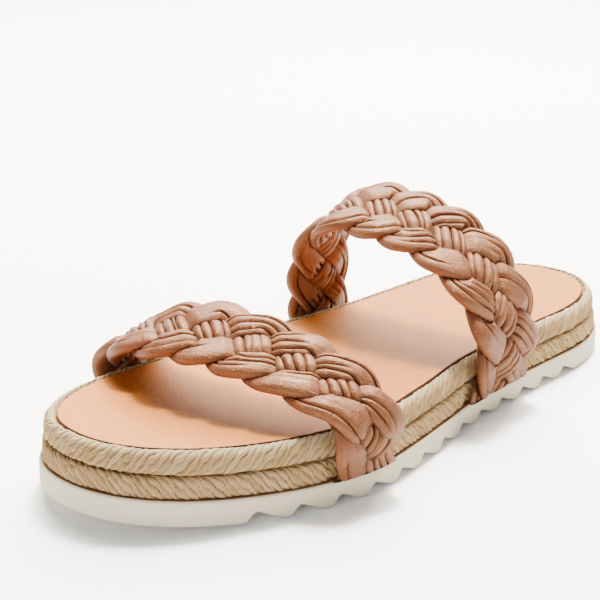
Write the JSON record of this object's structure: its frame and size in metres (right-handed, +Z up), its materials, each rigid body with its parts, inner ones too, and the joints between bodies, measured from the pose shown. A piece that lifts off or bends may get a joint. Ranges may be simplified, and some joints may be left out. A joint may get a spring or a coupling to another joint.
{
  "type": "espadrille sandal",
  "caption": "Left espadrille slide sandal with braided leather straps over the forefoot and instep, a jute platform, leather insole and saw-tooth rubber outsole.",
  "frame": {"origin": "centre of the shoe's bounding box, on the plane it stands on", "axes": "+X along the shoe towards the toe, +Y towards the outer side of the left foot, +Z up"},
  "size_m": [0.258, 0.106, 0.0724],
  "materials": {
    "outsole_rubber": "satin off-white foam rubber",
    "jute": "coarse twisted jute, matte",
    "insole_leather": "smooth tan leather, semi-matte",
    "strap_leather": "soft gathered tan leather, semi-gloss"
  },
  "bodies": {
    "root": {"outsole": "outsole_rubber", "jute_course_lower": "jute", "jute_course_upper": "jute", "insole": "insole_leather", "front_strap": "strap_leather", "instep_strap": "strap_leather"}
  },
  "joints": []
}
